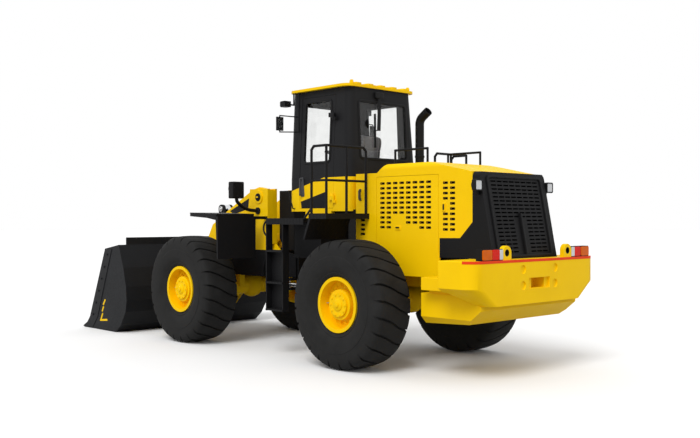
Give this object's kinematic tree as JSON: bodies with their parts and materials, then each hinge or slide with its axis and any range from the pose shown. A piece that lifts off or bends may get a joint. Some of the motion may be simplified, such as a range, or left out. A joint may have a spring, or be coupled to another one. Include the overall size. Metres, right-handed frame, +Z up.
{
  "type": "articulated wheel loader",
  "caption": "Articulated wheel loader with a hinged front frame, Z-bar lift arms, ground bucket with teeth, enclosed cab, louvred hood and large lugged tyres.",
  "frame": {"origin": "on the ground under the middle of the machine's length and width, bucket resting on the ground", "axes": "+X forward towards the bucket, +Y to the driver's left, +Z up"},
  "size_m": [8.485, 2.9, 3.695],
  "materials": {
    "yellow_paint": "gloss enamel",
    "dark_paint": "satin enamel",
    "tyre_rubber": "matt",
    "polished_rod": "polished",
    "clear_glass": "clear",
    "lamp_red": "gloss",
    "trim_black": "matt",
    "seat_cloth": "woven",
    "bucket_steel": "satin enamel",
    "engine_iron": "cast"
  },
  "bodies": {
    "rear": {"rear_frame": "yellow_paint", "rear_axle": "yellow_paint", "engine": "engine_iron", "counterweight": "yellow_paint", "hood": "yellow_paint", "hood_panels": "yellow_paint", "rear_guard": "dark_paint", "exhaust": "dark_paint", "hood_rail": "dark_paint", "rear_lamps": "lamp_red", "work_lamps": "trim_black", "rear_fenders": "dark_paint", "ladders": "dark_paint", "handrails": "dark_paint", "side_tanks": "dark_paint", "cab_base": "yellow_paint", "cab_frame": "dark_paint", "cab_roof": "yellow_paint", "cab_glass": "clear_glass", "seat": "seat_cloth", "steering_wheel": "trim_black", "mirrors": "trim_black", "belly_tank": "yellow_paint", "cab_lamps": "trim_black"},
    "front": {"front_frame": "yellow_paint", "front_axle": "yellow_paint", "front_fenders": "dark_paint", "head_lamps": "trim_black", "valve_cover": "dark_paint"},
    "boom": {"boom": "yellow_paint"},
    "bellcrank": {"bellcrank": "dark_paint"},
    "link": {"bucket_link": "dark_paint"},
    "bucket": {"bucket": "bucket_steel", "bucket_teeth": "bucket_steel"},
    "lift_barrels": {"lift_barrels": "dark_paint"},
    "lift_rods": {"lift_rods": "polished_rod"},
    "tilt_barrel": {"tilt_barrel": "dark_paint"},
    "tilt_rod": {"tilt_rod": "polished_rod"},
    "steer_barrel_left": {"steer_barrel_left": "dark_paint"},
    "steer_barrel_right": {"steer_barrel_right": "dark_paint"},
    "steer_rod_left": {"steer_rod_left": "polished_rod"},
    "steer_rod_right": {"steer_rod_right": "polished_rod"},
    "wheel_fl": {"tyre_fl": "tyre_rubber", "rim_fl": "yellow_paint"},
    "wheel_fr": {"tyre_fr": "tyre_rubber", "rim_fr": "yellow_paint"},
    "wheel_rl": {"tyre_rl": "tyre_rubber", "rim_rl": "yellow_paint"},
    "wheel_rr": {"tyre_rr": "tyre_rubber", "rim_rr": "yellow_paint"},
    "door": {"cab_door": "yellow_paint", "door_glass": "clear_glass", "door_handle": "polished_rod"}
  },
  "joints": [
    {"name": "steer", "type": "hinge", "parent": "rear", "child": "front", "pos_m": [-0.4575, 0, 1], "axis": [0, 0, 1], "range_deg": [-35, 35]},
    {"name": "lift", "type": "hinge", "parent": "front", "child": "boom", "pos_m": [0.4925, 0, 2.195], "axis": [0, -1, 0], "range_deg": [0, 86]},
    {"name": "tilt", "type": "hinge", "parent": "boom", "child": "bucket", "pos_m": [2.4925, 0, 0.38], "axis": [0, 1, 0], "range_deg": [-45, 122]},
    {"name": "door", "type": "hinge", "parent": "rear", "child": "door", "pos_m": [-1.4095, 0.685, 2.6], "axis": [0, 0, 1], "range_deg": [0, 85]},
    {"name": "spin_fl", "type": "hinge", "parent": "front", "child": "wheel_fl", "pos_m": [1.2925, 1.12, 0.805], "axis": [0, 1, 0], "continuous": true},
    {"name": "spin_fr", "type": "hinge", "parent": "front", "child": "wheel_fr", "pos_m": [1.2925, -1.12, 0.805], "axis": [0, 1, 0], "continuous": true},
    {"name": "spin_rl", "type": "hinge", "parent": "rear", "child": "wheel_rl", "pos_m": [-2.2075, 1.12, 0.805], "axis": [0, 1, 0], "continuous": true},
    {"name": "spin_rr", "type": "hinge", "parent": "rear", "child": "wheel_rr", "pos_m": [-2.2075, -1.12, 0.805], "axis": [0, 1, 0], "continuous": true},
    {"name": "bellcrank_turn", "type": "hinge", "parent": "boom", "child": "bellcrank", "pos_m": [1.8175, 0, 1.38], "axis": [0, 1, 0], "range_deg": [-21.5, 8]},
    {"name": "link_turn", "type": "hinge", "parent": "bucket", "child": "link", "pos_m": [2.5525, 0, 0.7], "axis": [0, 1, 0], "range_deg": [-75.5, 28]},
    {"name": "lift_barrel_turn", "type": "hinge", "parent": "front", "child": "lift_barrels", "pos_m": [0.0425, 0, 1.12], "axis": [0, -1, 0], "range_deg": [0, 53.5]},
    {"name": "lift_rod_slide", "type": "slide", "parent": "lift_barrels", "child": "lift_rods", "axis": [1, 0, 0.0063], "range_m": [0, 1.08]},
    {"name": "tilt_barrel_turn", "type": "hinge", "parent": "front", "child": "tilt_barrel", "pos_m": [0.5425, 0, 1.75], "axis": [0, -1, 0], "range_deg": [0, 73.5]},
    {"name": "tilt_rod_slide", "type": "slide", "parent": "tilt_barrel", "child": "tilt_rod", "axis": [0.9819, 0, 0.1896], "range_m": [0, 0.225]},
    {"name": "steer_barrel_left_turn", "type": "hinge", "parent": "rear", "child": "steer_barrel_left", "pos_m": [-1.1075, 0.48, 0.905], "axis": [0, 0, 1], "range_deg": [-11, 11]},
    {"name": "steer_rod_left_slide", "type": "slide", "parent": "steer_barrel_left", "child": "steer_rod_left", "axis": [0.9982, -0.0599, 0], "range_m": [-0.27, 0.27]},
    {"name": "steer_barrel_right_turn", "type": "hinge", "parent": "rear", "child": "steer_barrel_right", "pos_m": [-1.1075, -0.48, 0.905], "axis": [0, 0, 1], "range_deg": [-11, 11]},
    {"name": "steer_rod_right_slide", "type": "slide", "parent": "steer_barrel_right", "child": "steer_rod_right", "axis": [0.9982, 0.0599, 0], "range_m": [-0.27, 0.27]}
  ],
  "couplings": [
    {"joint": "bellcrank_turn", "follows": "tilt", "ratio": -0.173},
    {"joint": "link_turn", "follows": "tilt", "ratio": -0.615},
    {"joint": "lift_barrel_turn", "follows": "lift", "ratio": 0.617},
    {"joint": "lift_rod_slide", "follows": "lift", "m_per_rad": 0.7155},
    {"joint": "tilt_barrel_turn", "follows": "lift", "ratio": 0.848},
    {"joint": "tilt_rod_slide", "follows": "lift", "m_per_rad": 0.1466},
    {"joint": "steer_barrel_left_turn", "follows": "steer", "ratio": 0.304},
    {"joint": "steer_rod_left_slide", "follows": "steer", "m_per_rad": -0.4305},
    {"joint": "steer_barrel_right_turn", "follows": "steer", "ratio": 0.304},
    {"joint": "steer_rod_right_slide", "follows": "steer", "m_per_rad": 0.4305}
  ]
}
